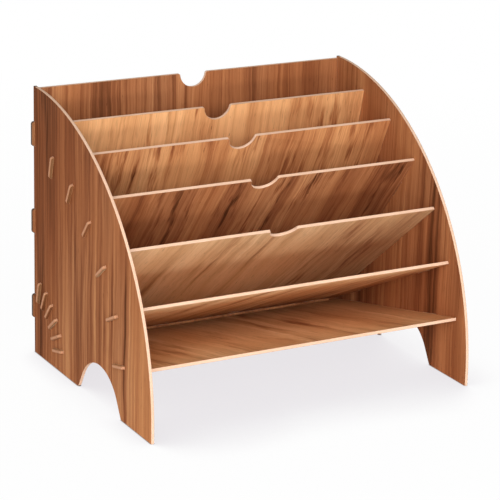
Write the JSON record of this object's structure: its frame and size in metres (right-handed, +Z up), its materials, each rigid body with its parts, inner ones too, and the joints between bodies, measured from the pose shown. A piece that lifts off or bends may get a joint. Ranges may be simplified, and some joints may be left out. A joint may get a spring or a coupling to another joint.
{
  "type": "document organizer",
  "caption": "Free-standing desk organizer of slotted wood-grain boards: quarter-round sides on arched feet carry an upright back and boards fanned out as open compartments for papers",
  "frame": {"origin": "centre of the bounding box, on the floor plane that the feet stand on", "axes": "+X to the right seen from the front, across the two sides; +Y to the rear; +Z up"},
  "size_m": [0.341, 0.257, 0.2664],
  "materials": {
    "printed_board": "satin walnut wood-grain print on fibreboard faces, pale raw fibreboard at the cut edges"
  },
  "bodies": {
    "root": {"left_side": "printed_board", "right_side": "printed_board", "back_panel": "printed_board", "divider_1": "printed_board", "divider_2": "printed_board", "divider_3": "printed_board", "divider_4": "printed_board", "upper_shelf": "printed_board", "lower_shelf": "printed_board"}
  },
  "joints": []
}
